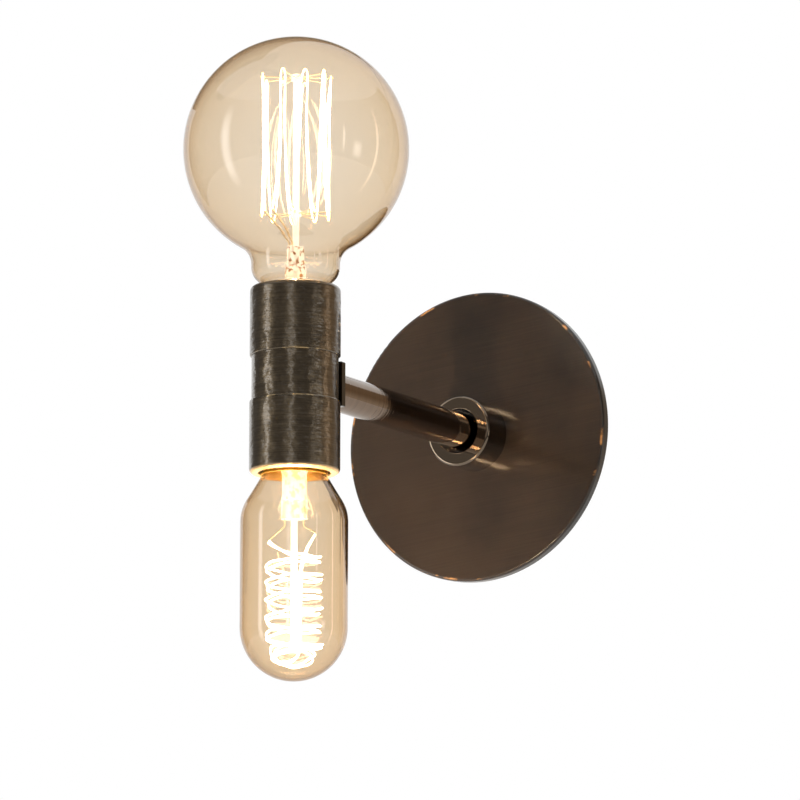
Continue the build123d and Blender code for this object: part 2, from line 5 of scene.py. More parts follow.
import bpy
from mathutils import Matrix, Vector

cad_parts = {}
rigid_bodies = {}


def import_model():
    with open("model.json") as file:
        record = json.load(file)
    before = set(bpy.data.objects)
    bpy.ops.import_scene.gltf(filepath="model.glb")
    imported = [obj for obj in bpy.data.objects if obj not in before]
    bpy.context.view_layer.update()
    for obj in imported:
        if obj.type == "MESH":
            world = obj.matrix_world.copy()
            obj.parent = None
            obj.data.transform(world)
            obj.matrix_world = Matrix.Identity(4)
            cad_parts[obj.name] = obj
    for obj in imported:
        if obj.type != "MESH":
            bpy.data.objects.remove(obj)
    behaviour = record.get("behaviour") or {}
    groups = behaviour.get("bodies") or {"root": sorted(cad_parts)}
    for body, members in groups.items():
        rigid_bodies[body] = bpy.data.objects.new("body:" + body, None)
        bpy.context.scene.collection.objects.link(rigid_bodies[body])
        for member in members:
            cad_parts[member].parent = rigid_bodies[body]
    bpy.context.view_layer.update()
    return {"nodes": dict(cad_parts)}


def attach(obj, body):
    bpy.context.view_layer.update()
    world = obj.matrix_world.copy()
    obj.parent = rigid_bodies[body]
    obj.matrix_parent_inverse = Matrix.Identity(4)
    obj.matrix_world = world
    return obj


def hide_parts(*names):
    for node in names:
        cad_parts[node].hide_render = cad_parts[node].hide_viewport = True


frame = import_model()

bpy.ops.object.select_all(action="DESELECT")

# Camera
# A long lens stands in front of the sconce, to its right and a little below it.
# The point where the arm meets the lamp axis falls left of the picture's middle.
picture_side = 800
focal_pixels = 7989
sensor_width = 36.0
nearest_sight = 0.1
farthest_sight = 50.0
camera_distance = 3.336
camera_azimuth = math.radians(31.2)
camera_elevation = math.radians(-10.9)
camera_roll = math.radians(0.17)
axis_y = -0.1553
crossing = Vector((0, axis_y, 0))
crossing_pixel = Vector((294.9, 379.6))

level_share = math.cos(camera_elevation)
backward = Vector((
    math.sin(camera_azimuth) * level_share,
    -math.cos(camera_azimuth) * level_share,
    math.sin(camera_elevation),
))
rightward = Vector((math.cos(camera_azimuth), math.sin(camera_azimuth), 0))
upward = backward.cross(rightward)
metres_per_pixel = camera_distance / focal_pixels
aim = crossing + rightward * (picture_side / 2 - crossing_pixel.x) * metres_per_pixel
aim -= upward * (picture_side / 2 - crossing_pixel.y) * metres_per_pixel
bpy.ops.object.camera_add(location=crossing + backward * camera_distance)
camera = bpy.context.object
camera.rotation_euler = (aim - camera.location).to_track_quat("-Z", "Y").to_euler()
camera.rotation_euler.rotate_axis("Z", camera_roll)
camera.data.sensor_width = sensor_width
camera.data.lens = focal_pixels * sensor_width / picture_side
camera.data.clip_start = nearest_sight
camera.data.clip_end = farthest_sight
bpy.context.scene.camera = camera
bpy.context.scene.view_settings.view_transform = "Standard"

# Studio
# A white room with a pale floor far below, because the sconce hangs on a wall. From below, the floor is open.
# Metal and glass also mirror a dark ceiling and a curtain, grey in front and tan behind, where it pales
# towards its hem. Soft lights before the curtain draw the bands on the cups and the arcs on the glass.
room_light = 0.48
room_tint = "#fffaf4"
shown_white = "#ffffff"
floor_height = -1.5
floor_size = 30.0
floor_lift = 0.42
paper_mottle = 1 / 3
paper_tones = {0.0: "#f1efec", 1.0: "#f6f5f3"}
curtain_sides = 64
curtain_radius = 3.0
curtain_low = -0.7
curtain_high = 2.4
curtain_gap_azimuth = math.radians(205)
curtain_gap_reach = 2.12
curtain_grey = "#76726e"
curtain_tan = "#a08a70"
curtain_hem = "#ddd0bd"
tan_from = 0.2
tan_to = 1.6
hem_from = 0.35
ceiling_size = 4.2
ceiling_spot = (-3.1, 2.0)
ceiling_grey = "#5c5751"
studio_lights = {
    "left_strip": {"azimuth": -45, "height": 0.0, "size": (0.6, 3.4), "power": 32.0, "tint": "#ffffff"},
    "front_box": {"azimuth": 20, "height": 0.5, "size": (0.5, 1.6), "power": 7.0, "tint": "#ffffff"},
    "right_box": {"azimuth": 96, "height": -0.1, "size": (0.55, 0.75), "power": 6.0, "tint": "#fffaf2"},
    "right_strip": {"azimuth": 80, "height": 0.2, "size": (0.14, 1.2), "power": 2.6, "tint": "#fffaf2"},
    "rear_strip": {"azimuth": 121, "height": 0.0, "size": (0.2, 3.4), "power": 10.0, "tint": "#ffe6cc"},
}
light_distance = 2.2
light_edge = 0.5
light_core = 0.1


def linear(code):
    """An sRGB hex colour as linear red, green, blue and alpha."""
    channels = [int(code[i:i + 2], 16) / 255 for i in (1, 3, 5)]
    return [c / 12.92 if c <= 0.04045 else ((c + 0.055) / 1.055) ** 2.4 for c in channels] + [1.0]


def add(tree, kind, inputs=None, stops=None, **settings):
    """Adds a shader node to a tree, with its settings, its inputs' values or links and its ramp's colours."""
    node = tree.nodes.new("ShaderNode" + kind)
    for name, value in settings.items():
        setattr(node, name, value)
    for name, value in (inputs or {}).items():
        if isinstance(value, bpy.types.NodeSocket):
            tree.links.new(value, node.inputs[name])
        else:
            node.inputs[name].default_value = value
    if stops:
        ramp = node.color_ramp.elements
        first, *between, last = stops.items()
        for end, (position, code) in zip(list(ramp), (first, last)):
            end.position = position
            end.color = linear(code)
        for position, code in between:
            ramp.new(position).color = linear(code)
    return node


def new_material(name):
    """An empty material and its node tree."""
    material = bpy.data.materials.new(name)
    material.use_nodes = True
    material.node_tree.nodes.clear()
    return material, material.node_tree


def shown_rays(tree):
    """One for a ray from the camera, a mirror or glass, which shows the studio, and zero for its light."""
    ray = add(tree, "LightPath").outputs
    mirrored = add(tree, "Math", {0: ray["Is Camera Ray"], 1: ray["Is Glossy Ray"]}, operation="MAXIMUM")
    either = {0: mirrored.outputs[0], 1: ray["Is Transmission Ray"]}
    return add(tree, "Math", either, operation="MAXIMUM").outputs[0]


room = bpy.data.worlds.new("white_room")
room.use_nodes = True
tree = room.node_tree
tree.nodes.clear()
bpy.context.scene.world = room
soft = add(tree, "Background", {"Color": linear(room_tint), "Strength": room_light})
white = add(tree, "Background", {"Color": linear(shown_white), "Strength": 1.0})
room_shader = add(tree, "MixShader", {0: shown_rays(tree), 1: soft.outputs[0], 2: white.outputs[0]})
add(tree, "OutputWorld", {"Surface": room_shader.outputs[0]})

# Matt paper with a faint mottle, a little brighter to the eye than the light on it, and open from below.
bpy.ops.mesh.primitive_plane_add(size=floor_size, location=(0, 0, floor_height))
floor = bpy.context.object
floor.name = "floor"
paper, tree = new_material("pale_paper")
place = add(tree, "TexCoord").outputs["Object"]
grain = add(tree, "TexNoise", {"Vector": place, "Scale": 1 / paper_mottle, "Detail": 2.0})
tone = add(tree, "ValToRGB", {"Fac": grain.outputs["Fac"]}, stops=paper_tones)
lift = add(tree, "Math", {0: shown_rays(tree), 1: floor_lift}, operation="MULTIPLY")
matt = add(
    tree,
    "BsdfPrincipled",
    {
        "Base Color": tone.outputs["Color"],
        "Roughness": 0.9,
        "Emission Color": tone.outputs["Color"],
        "Emission Strength": lift.outputs[0],
    },
)
from_below = add(tree, "NewGeometry").outputs["Backfacing"]
unseen = add(tree, "BsdfTransparent")
one_sided = add(tree, "MixShader", {0: from_below, 1: matt.outputs[0], 2: unseen.outputs[0]})
add(tree, "OutputMaterial", {"Surface": one_sided.outputs[0]})
floor.data.materials.append(paper)

# The curtain hangs all round, apart from a gap behind on the left.
bpy.ops.mesh.primitive_cylinder_add(
    vertices=curtain_sides,
    radius=curtain_radius,
    depth=curtain_high - curtain_low,
    end_fill_type="NOTHING",
    location=crossing + Vector((0, 0, (curtain_low + curtain_high) / 2)),
)
curtain = bpy.context.object
curtain.name = "curtain"
bpy.ops.object.mode_set(mode="EDIT")
bpy.ops.mesh.select_all(action="SELECT")
gap_way = Vector((math.sin(curtain_gap_azimuth), -math.cos(curtain_gap_azimuth), 0))
bpy.ops.mesh.bisect(
    plane_co=crossing + gap_way * curtain_gap_reach,
    plane_no=gap_way,
    clear_outer=True,
)
bpy.ops.object.mode_set(mode="OBJECT")
bpy.ops.mesh.primitive_plane_add(size=ceiling_size, location=(*ceiling_spot, curtain_high))
ceiling = bpy.context.object
ceiling.name = "ceiling"
for cloth, name, front, rear, hem in (
    (curtain, "grey_and_tan_curtain", curtain_grey, curtain_tan, curtain_hem),
    (ceiling, "dark_ceiling", ceiling_grey, ceiling_grey, ceiling_grey),
):
    material, tree = new_material(name)
    place = add(tree, "NewGeometry").outputs["Position"]
    depth = add(tree, "SeparateXYZ", {0: place})
    behind = add(tree, "MapRange", {"Value": depth.outputs["Y"], "From Min": tan_from, "From Max": tan_to})
    lower = add(
        tree,
        "MapRange",
        {"Value": depth.outputs["Z"], "From Min": hem_from, "From Max": curtain_low},
    )
    pale_rear = add(
        tree,
        "MixRGB",
        {"Fac": lower.outputs["Result"], "Color1": linear(rear), "Color2": linear(hem)},
    )
    dye = add(
        tree,
        "MixRGB",
        {"Fac": behind.outputs["Result"], "Color1": linear(front), "Color2": pale_rear.outputs["Color"]},
    )
    dim = add(tree, "Emission", {"Color": dye.outputs["Color"], "Strength": 1.0})
    add(tree, "OutputMaterial", {"Surface": dim.outputs[0]})
    material.cycles.emission_sampling = "NONE"
    cloth.data.materials.append(material)
    cloth.visible_camera = False
    cloth.visible_diffuse = False
    cloth.visible_transmission = False
    cloth.visible_shadow = False

# Each light is brightest in its middle and fades to nothing at its edges.
for name, look in studio_lights.items():
    turn = math.radians(look["azimuth"])
    spot = crossing + Vector((math.sin(turn), -math.cos(turn), 0)) * light_distance
    spot.z = look["height"]
    bpy.ops.object.light_add(type="AREA", location=spot)
    light = bpy.context.object
    light.name = name
    light.rotation_euler = (crossing - spot).to_track_quat("-Z", "Y").to_euler()
    light.data.shape = "RECTANGLE"
    light.data.size, light.data.size_y = look["size"]
    light.data.energy = look["power"]
    light.data.color = linear(look["tint"])[:3]
    light.visible_camera = False
    light.visible_transmission = False
    light.data.use_nodes = True
    tree = light.data.node_tree
    tree.nodes.clear()
    spread = add(tree, "NewGeometry").outputs["Parametric"]
    centred = add(tree, "VectorMath", {0: spread, 1: (light_edge, light_edge, 0)}, operation="SUBTRACT")
    folded = add(tree, "VectorMath", {0: centred.outputs[0]}, operation="ABSOLUTE")
    side = add(tree, "SeparateXYZ", {0: folded.outputs[0]})
    fades = [
        add(
            tree,
            "MapRange",
            {"Value": side.outputs[way], "From Min": light_edge, "From Max": light_core},
            interpolation_type="SMOOTHSTEP",
        ).outputs["Result"]
        for way in "XY"
    ]
    fade = add(tree, "Math", {0: fades[0], 1: fades[1]}, operation="MULTIPLY")
    shine = add(tree, "Emission", {"Strength": fade.outputs[0]})
    add(tree, "OutputLight", {"Surface": shine.outputs[0]})

# Wall plate
# A round steel plate, plated in dark bronze, brushed in one direction by hand and lacquered.
# It slides on the arm and is clamped to the wall by the collar. It is painted paler towards the left and the
# bottom, and its rim is painted bright bronze in spots: bare metal from handling, and a painted highlight
# along the edge.
plate_dark = "#1a140f"
plate_pale = "#3f3328"
plate_bare_and_highlight = "#d79a58"
brush_turn = math.radians(-6)
# Real brush lines are finer than a tenth of a millimetre, and these are coarser, so that they show.
plate_stroke = (0.045, 0.045, 0.0005)
plate_patina = 0.035
patina_share = 0.6
brush_share = 0.4
# How much paler the plate is painted per metre, along each axis.
paler_way = (-4.0, 0, -1.5)
dark_until = 0.2
pale_from = 0.85
plate_plane = (1, 0, 1)
# The rim strip is painted bright bronze in patches: wear, and a painted highlight along the edge.
rim_strip = (0.0619, 0.0633)
rim_crest = 0.5
rim_wear_and_highlight_patch = 0.012
rim_bare_and_highlight = (0.55, 0.62)


def dress(material, *names):
    """Gives a material to CAD nodes."""
    for name in names:
        frame["nodes"][name].material_slots[0].material = material


def rub_and_highlight_edge(tree, place, distance, strip, crest, patch, bare):
    """The strip along an edge, and where it is painted bright in patches of that strip: bare metal from wear,
    and a painted highlight on the edge.
    """
    across = add(tree, "MapRange", {"Value": distance, "From Min": strip[0], "From Max": strip[1]})
    edge_strip = add(
        tree,
        "ValToRGB",
        {"Fac": across.outputs["Result"]},
        stops={0.0: "#000000", crest: "#ffffff", 1.0: "#000000"},
    ).outputs["Color"]
    patch_noise = add(tree, "TexNoise", {"Vector": place, "Scale": 1 / patch, "Detail": 4.0})
    spots = add(
        tree,
        "MapRange",
        {"Value": patch_noise.outputs["Fac"], "From Min": bare[0], "From Max": bare[1]},
    )
    bare_and_highlight = add(tree, "Math", {0: edge_strip, 1: spots.outputs["Result"]}, operation="MULTIPLY")
    return edge_strip, bare_and_highlight.outputs[0]


# Brushing draws fine level lines in the dark metal, and the lacquer lies smooth and glossy over them.
brushed_bronze, tree = new_material("brushed_lacquered_bronze")
place = add(tree, "TexCoord").outputs["Object"]
along_brush = add(
    tree,
    "Mapping",
    {"Vector": place, "Rotation": (0, brush_turn, 0), "Scale": plate_stroke},
    vector_type="TEXTURE",
)
brush = add(
    tree,
    "TexNoise",
    {"Vector": along_brush.outputs[0], "Scale": 1.0, "Detail": 3.0, "Roughness": 0.65},
)
patina = add(tree, "TexNoise", {"Vector": place, "Scale": 1 / plate_patina, "Detail": 3.0})
slope = add(tree, "VectorMath", {0: place, 1: paler_way}, operation="DOT_PRODUCT")
cloud = add(
    tree,
    "Math",
    {0: patina.outputs["Fac"], 1: patina_share, 2: slope.outputs["Value"]},
    operation="MULTIPLY_ADD",
)
cover = add(
    tree,
    "Math",
    {0: brush.outputs["Fac"], 1: brush_share, 2: cloud.outputs[0]},
    operation="MULTIPLY_ADD",
)
tone = add(
    tree,
    "ValToRGB",
    {"Fac": cover.outputs[0]},
    stops={dark_until: plate_dark, pale_from: plate_pale},
)
from_axis = add(tree, "VectorMath", {0: place, 1: plate_plane}, operation="MULTIPLY")
radius = add(tree, "VectorMath", {0: from_axis.outputs[0]}, operation="LENGTH").outputs["Value"]
edge_strip, bare_and_highlight = rub_and_highlight_edge(tree, place, radius, rim_strip, rim_crest, rim_wear_and_highlight_patch, rim_bare_and_highlight)
# Painted highlight and wear: bright bronze in patches along the rim.
skin = add(
    tree,
    "MixRGB",
    {"Fac": bare_and_highlight, "Color1": tone.outputs["Color"], "Color2": linear(plate_bare_and_highlight)},
)
sheen = add(tree, "MapRange", {"Value": brush.outputs["Fac"], "To Min": 0.36, "To Max": 0.5})
relief = add(tree, "Bump", {"Height": brush.outputs["Fac"], "Strength": 0.16, "Distance": 0.0002})
lacquer = add(
    tree,
    "BsdfPrincipled",
    {
        "Base Color": skin.outputs["Color"],
        "Metallic": 0.5,
        "Specular IOR Level": 0.2,
        "Roughness": sheen.outputs["Result"],
        "Normal": relief.outputs[0],
        "Coat Weight": 1.0,
        "Coat Roughness": 0.06,
        "Coat Normal": relief.outputs[0],
    },
)
add(tree, "OutputMaterial", {"Surface": lacquer.outputs[0]})
dress(brushed_bronze, "wall_plate")

# Arm
# One drawn tube in the same bronze, brushed round and then polished before the lacquer, so that it
# mirrors the room and the plate. It is soldered into the hub and screwed to the lampholder body.
arm_tones = {0.0: "#69584a", 1.0: "#8a7460"}
# The marks of polishing are too fine to show, so they are drawn a millimetre wide.
polish_mark = (0.02, 0.0012, 0.02)

# Polishing leaves faint streaks round the tube, which only show at the edges of what it mirrors.
polished_bronze, tree = new_material("polished_lacquered_bronze")
place = add(tree, "TexCoord").outputs["Object"]
drawn = add(tree, "Mapping", {"Vector": place, "Scale": polish_mark}, vector_type="TEXTURE")
streak = add(tree, "TexNoise", {"Vector": drawn.outputs[0], "Scale": 1.0, "Detail": 3.0})
tone = add(tree, "ValToRGB", {"Fac": streak.outputs["Fac"]}, stops=arm_tones)
sheen = add(tree, "MapRange", {"Value": streak.outputs["Fac"], "To Min": 0.02, "To Max": 0.06})
relief = add(tree, "Bump", {"Height": streak.outputs["Fac"], "Strength": 0.08, "Distance": 0.0003})
lacquer = add(
    tree,
    "BsdfPrincipled",
    {
        "Base Color": tone.outputs["Color"],
        "Metallic": 1.0,
        "Roughness": sheen.outputs["Result"],
        "Normal": relief.outputs[0],
        "Coat Weight": 0.4,
        "Coat Roughness": 0.03,
    },
)
add(tree, "OutputMaterial", {"Surface": lacquer.outputs[0]})
dress(polished_bronze, "arm_tube")

# Collar, hub and saddle
# The collar and the hub are turned from bar, and the small saddle, which fills the gap between the arm
# and the round body, is cut from strip. All are polished to a mirror over faint tool marks.
# The collar is darkened, and its front face is painted paler, as painted light. The hub and the saddle are
# painted near black, as painted shade of the gaps they sit in.
# Painted light: where the surface faces the front, the collar is painted paler.
front_way = (0, -1, 0)
face_from = 0.9
face_to = 0.98
# The tool marks are drawn coarser than real ones, so that they show.
tool_ring = (0.02, 0.0005, 0.02)

for name, dark, pale, lit_face, parts in (
    ("dark_turned_bronze", "#594c3d", "#70604d", "#8f7e69", ("collar",)),
    # Painted shade: the hub and the saddle sit in gaps and are painted near black.
    ("shade_dark_bronze", "#2b2620", "#39322a", "#39322a", ("hub", "saddle_plate")),
):
    dark_bronze, tree = new_material(name)
    spot = add(tree, "TexCoord").outputs
    forward = add(tree, "VectorMath", {0: spot["Normal"], 1: front_way}, operation="DOT_PRODUCT")
    painted_face_light = add(
        tree,
        "MapRange",
        {"Value": forward.outputs["Value"], "From Min": face_from, "From Max": face_to},
    )
    turned = add(tree, "Mapping", {"Vector": spot["Object"], "Scale": tool_ring}, vector_type="TEXTURE")
    ring = add(tree, "TexNoise", {"Vector": turned.outputs[0], "Scale": 1.0, "Detail": 3.0})
    tone = add(tree, "ValToRGB", {"Fac": ring.outputs["Fac"]}, stops={0.0: dark, 1.0: pale})
    # The front face's paler colour is painted light.
    skin = add(
        tree,
        "MixRGB",
        {"Fac": painted_face_light.outputs["Result"], "Color1": tone.outputs["Color"], "Color2": linear(lit_face)},
    )
    sheen = add(tree, "MapRange", {"Value": ring.outputs["Fac"], "To Min": 0.04, "To Max": 0.1})
    relief = add(tree, "Bump", {"Height": ring.outputs["Fac"], "Strength": 0.05, "Distance": 0.0002})
    lacquer = add(
        tree,
        "BsdfPrincipled",
        {
            "Base Color": skin.outputs["Color"],
            "Metallic": 1.0,
            "Roughness": sheen.outputs["Result"],
            "Normal": relief.outputs[0],
            "Coat Weight": 1.0,
            "Coat Roughness": 0.03,
        },
    )
    add(tree, "OutputMaterial", {"Surface": lacquer.outputs[0]})
    dress(dark_bronze, *parts)

# Cups and band
# Drawn brass covers that slip over a turned band. They are brushed round the lathe, darkened, and
# lacquered by hand, with shallow dents and the creases of the lacquer left in. The cups' edges next to
# the band are painted pale in patches, as wear and as a painted highlight, and years of changing lamps have
# bared the mouths.
cup_dark = "#4d4232"
cup_pale = "#6a5d49"
cup_bare_and_highlight = "#c4a878"
cup_dark_until = 0.3
cup_pale_from = 0.7
# The brush lines are drawn coarser than real ones here too.
lathe_stroke = (0.03, 0.03, 0.00045)
lacquer_ripple = (0.007, 0.007, 0.0026)
coat_crease = (0.005, 0.005, 0.0012)
dent_width = 0.006
dent_fade = 0.02
dent_low_share = 0.45
# The skirt strips are painted pale in patches: wear, and a painted highlight on the rounded edges.
skirt_strip = (0.0094, 0.0106)
skirt_crest = 0.4
skirt_wear_and_highlight_patch = 0.006
skirt_bare_and_highlight = (0.56, 0.68)
skirt_polish = -0.16
mouth_from = 0.0386
mouth_to = 0.0396
mouth_dullness = 0.25

# Satin lines run round the dark metal, and small glints break up on the creased clear coat.
lathe_bronze, tree = new_material("lathe_brushed_bronze")
place = add(tree, "TexCoord").outputs["Object"]
round_axis = add(
    tree,
    "Mapping",
    {"Vector": place, "Location": crossing, "Scale": lathe_stroke},
    vector_type="TEXTURE",
)
brush = add(
    tree,
    "TexNoise",
    {"Vector": round_axis.outputs[0], "Scale": 1.0, "Detail": 4.0, "Roughness": 0.7},
)
rippled = add(tree, "Mapping", {"Vector": place, "Scale": lacquer_ripple}, vector_type="TEXTURE")
ripple = add(tree, "TexNoise", {"Vector": rippled.outputs[0], "Scale": 1.0, "Detail": 5.0})
creased = add(tree, "Mapping", {"Vector": place, "Scale": coat_crease}, vector_type="TEXTURE")
crease = add(tree, "TexNoise", {"Vector": creased.outputs[0], "Scale": 1.0, "Detail": 2.0})
dent = add(tree, "TexNoise", {"Vector": place, "Scale": 1 / dent_width, "Detail": 1.0})
tone = add(
    tree,
    "ValToRGB",
    {"Fac": brush.outputs["Fac"]},
    stops={cup_dark_until: cup_dark, cup_pale_from: cup_pale},
)
height = add(tree, "SeparateXYZ", {0: place})
level = add(tree, "Math", {0: height.outputs["Z"]}, operation="ABSOLUTE").outputs[0]
edge_strip, bare_and_highlight = rub_and_highlight_edge(tree, place, level, skirt_strip, skirt_crest, skirt_wear_and_highlight_patch, skirt_bare_and_highlight)
mouth = add(
    tree,
    "MapRange",
    {"Value": level, "From Min": mouth_from, "From Max": mouth_to},
).outputs["Result"]
all_bare_and_highlight = add(tree, "Math", {0: bare_and_highlight, 1: mouth}, operation="MAXIMUM")
# Painted highlight and wear: pale patches along the skirts, and bare mouths.
skin = add(
    tree,
    "MixRGB",
    {"Fac": all_bare_and_highlight.outputs[0], "Color1": tone.outputs["Color"], "Color2": linear(cup_bare_and_highlight)},
)
satin = add(tree, "MapRange", {"Value": brush.outputs["Fac"], "To Min": 0.24, "To Max": 0.4})
sheen = add(
    tree,
    "Math",
    {0: mouth, 1: mouth_dullness, 2: satin.outputs["Result"]},
    operation="MULTIPLY_ADD",
)
smooth_edge = add(
    tree,
    "Math",
    {0: edge_strip, 1: skirt_polish, 2: sheen.outputs[0]},
    operation="MULTIPLY_ADD",
)
near_skirt = add(
    tree,
    "MapRange",
    {"Value": level, "From Min": dent_fade, "From Max": skirt_strip[0], "To Min": dent_low_share},
)
dent_depth = add(
    tree,
    "Math",
    {0: dent.outputs["Fac"], 1: near_skirt.outputs["Result"]},
    operation="MULTIPLY",
)
hollow = add(tree, "Bump", {"Height": dent_depth.outputs[0], "Strength": 0.9, "Distance": 0.0008}).outputs[0]
wavy = add(
    tree,
    "Bump",
    {"Height": ripple.outputs["Fac"], "Strength": 0.5, "Distance": 0.0005, "Normal": hollow},
).outputs[0]
relief = add(
    tree,
    "Bump",
    {"Height": brush.outputs["Fac"], "Strength": 0.14, "Distance": 0.0002, "Normal": wavy},
)
clear_coat = add(
    tree,
    "Bump",
    {"Height": crease.outputs["Fac"], "Strength": 0.85, "Distance": 0.0005, "Normal": hollow},
)
lacquer = add(
    tree,
    "BsdfPrincipled",
    {
        "Base Color": skin.outputs["Color"],
        "Metallic": 1.0,
        "Roughness": smooth_edge.outputs[0],
        "Normal": relief.outputs[0],
        "Coat Weight": 1.0,
        "Coat Roughness": 0.17,
        "Coat Normal": clear_coat.outputs[0],
    },
)
add(tree, "OutputMaterial", {"Surface": lacquer.outputs[0]})
dress(lathe_bronze, "upper_cup", "lower_cup", "center_band")

# Strap, frame and small fixings
# Pressed steel straps and turned nipples, washers, nuts and screws, all with a zinc coat.
# They hold the arm to the wall box and the two lampholders to the arm.
zinc_tones = {0.0: "#a6a8a8", 1.0: "#c3c5c4"}
spangle_width = 0.004

# The coat dulls to a pale grey with a faint spangle.
zinc, tree = new_material("zinc_plated_steel")
place = add(tree, "TexCoord").outputs["Object"]
spangle = add(tree, "TexVoronoi", {"Vector": place, "Scale": 1 / spangle_width})
tone = add(tree, "ValToRGB", {"Fac": spangle.outputs["Distance"]}, stops=zinc_tones)
sheen = add(tree, "MapRange", {"Value": spangle.outputs["Distance"], "To Min": 0.3, "To Max": 0.45})
plated = add(
    tree,
    "BsdfPrincipled",
    {"Base Color": tone.outputs["Color"], "Metallic": 1.0, "Roughness": sheen.outputs["Result"]},
)
add(tree, "OutputMaterial", {"Surface": plated.outputs[0]})
dress(zinc, "crossbar", "rear_nipple", "rear_lock_washer", "rear_hex_nut")
dress(zinc, "front_nipple", "front_lock_washer", "front_hex_nut", "socket_frame", "frame_screws")

# Plug and contact leaves
# The plug is turned from brass bar and soldered into the arm's front end.
# The leaves are springy strips of brass, one under each lamp's middle contact.
turned_tones = {0.0: "#b08d4a", 1.0: "#d3b06a"}
turning_pitch = (0.02, 0.00025, 0.02)

# Bright yellow metal with the fine lines of the tool.
turned_brass, tree = new_material("turned_brass")
place = add(tree, "TexCoord").outputs["Object"]
tool_mark = add(tree, "Mapping", {"Vector": place, "Scale": turning_pitch}, vector_type="TEXTURE")
groove = add(tree, "TexNoise", {"Vector": tool_mark.outputs[0], "Scale": 1.0, "Detail": 2.0})
tone = add(tree, "ValToRGB", {"Fac": groove.outputs["Fac"]}, stops=turned_tones)
relief = add(tree, "Bump", {"Height": groove.outputs["Fac"], "Strength": 0.2, "Distance": 0.0001})
bar = add(
    tree,
    "BsdfPrincipled",
    {
        "Base Color": tone.outputs["Color"],
        "Metallic": 1.0,
        "Roughness": 0.25,
        "Normal": relief.outputs[0],
    },
)
add(tree, "OutputMaterial", {"Surface": bar.outputs[0]})
dress(turned_brass, "arm_plug", "upper_center_contact", "lower_center_contact")

# Earth screw
# A steel screw in the crossbar for the earth wire.
# It is dipped in green lacquer, so that its use is known, and the lacquer is thinner in patches.
lacquer_patch = 0.003


def mottled(name, patch, dark, pale, finish):
    """A material whose colour wanders between two tones, in patches of a real size."""
    material, tree = new_material(name)
    place = add(tree, "TexCoord").outputs["Object"]
    cloud = add(tree, "TexNoise", {"Vector": place, "Scale": 1 / patch})
    tone = add(tree, "ValToRGB", {"Fac": cloud.outputs["Fac"]}, stops={0.0: dark, 1.0: pale})
    surface = add(tree, "BsdfPrincipled", {"Base Color": tone.outputs["Color"], **finish})
    add(tree, "OutputMaterial", {"Surface": surface.outputs[0]})
    return material


# The lacquer is clear and glossy, so that the steel shines through the green.
green_finish = {"Metallic": 0.6, "Roughness": 0.3}
green = mottled("green_lacquered_steel", lacquer_patch, "#1f5c36", "#2f7a4a", green_finish)
dress(green, "ground_screw")

# Porcelain
# The two lampholders' bodies, pressed from clay, fired and glazed.
# Each is screwed to the frame and carries a screw shell and a contact leaf.
porcelain_tones = {0.0: "#ddd8cc", 1.0: "#ece8de"}
glaze_wave = 0.006

# A warm white with a smooth gloss and faint waves in the glaze.
porcelain, tree = new_material("glazed_porcelain")
place = add(tree, "TexCoord").outputs["Object"]
wave = add(tree, "TexNoise", {"Vector": place, "Scale": 1 / glaze_wave})
tone = add(tree, "ValToRGB", {"Fac": wave.outputs["Fac"]}, stops=porcelain_tones)
relief = add(tree, "Bump", {"Height": wave.outputs["Fac"], "Strength": 0.1, "Distance": 0.0002})
glaze = add(
    tree,
    "BsdfPrincipled",
    {"Base Color": tone.outputs["Color"], "Roughness": 0.15, "Normal": relief.outputs[0]},
)
add(tree, "OutputMaterial", {"Surface": glaze.outputs[0]})
dress(porcelain, "upper_insulator", "lower_insulator")

# Screw shells
# Thin brass, drawn to a cup and rolled to a coarse round thread, with a lip turned out at the mouth.
# Each sits in its porcelain, and the lower one shows in its cup's mouth.
rolled_tones = {0.0: "#d8aa48", 1.0: "#f2cf74"}
brass_stain = 0.004
thread_pitch = 0.00363
shell_skin = 0.0003
shell_crest = 0.0135
shell_thread_depth = 0.00038
shell_foot = 0.01305
shell_foot_radius = shell_crest - 0.0004
shell_eye = 0.00905
shell_wall_start = 0.0145
shell_wall_end = 0.0362
shell_lip = ((shell_crest + 0.0001, 0.0371), (shell_crest + 0.0005, 0.03745), (0.01505, 0.03745))
ring_step = 0.0003
lathe_sides = 96
smooth_below = math.radians(40)


def turn_on_lathe(name, outline):
    """A thin turned wall on the lamp axis: a ring is drawn out through (radius, height) pairs."""
    (radius, height), *others = outline
    bpy.ops.mesh.primitive_circle_add(
        vertices=lathe_sides,
        radius=radius,
        location=(0, axis_y, height),
    )
    piece = bpy.context.object
    piece.name = name
    bpy.ops.object.transform_apply(location=True, rotation=True, scale=True)
    bpy.ops.object.mode_set(mode="EDIT")
    bpy.ops.mesh.select_all(action="SELECT")
    for next_radius, next_height in others:
        bpy.ops.mesh.extrude_edges_move(
            TRANSFORM_OT_translate={"value": (0, 0, next_height - height)},
        )
        share = next_radius / radius
        bpy.ops.transform.resize(value=(share, share, 1), center_override=(0, axis_y, next_height))
        radius, height = next_radius, next_height
    bpy.ops.mesh.select_all(action="SELECT")
    bpy.ops.mesh.normals_make_consistent(inside=False)
    bpy.ops.object.mode_set(mode="OBJECT")
    return piece


def roll_thread(piece, start, end, depth):
    """Rolls a right-hand round thread into a turned wall between two heights from the middle."""
    for vertex in piece.data.vertices:
        level = abs(vertex.co.z)
        fade = min(1.0, max(0.0, min(level - start, end - level) / thread_pitch))
        out = vertex.co - Vector((0, axis_y, vertex.co.z))
        turn = math.atan2(out.y, out.x)
        wave = 0.5 - 0.5 * math.cos(2 * math.pi * vertex.co.z / thread_pitch - turn)
        out.length += depth * fade * wave
        vertex.co.x = out.x
        vertex.co.y = axis_y + out.y


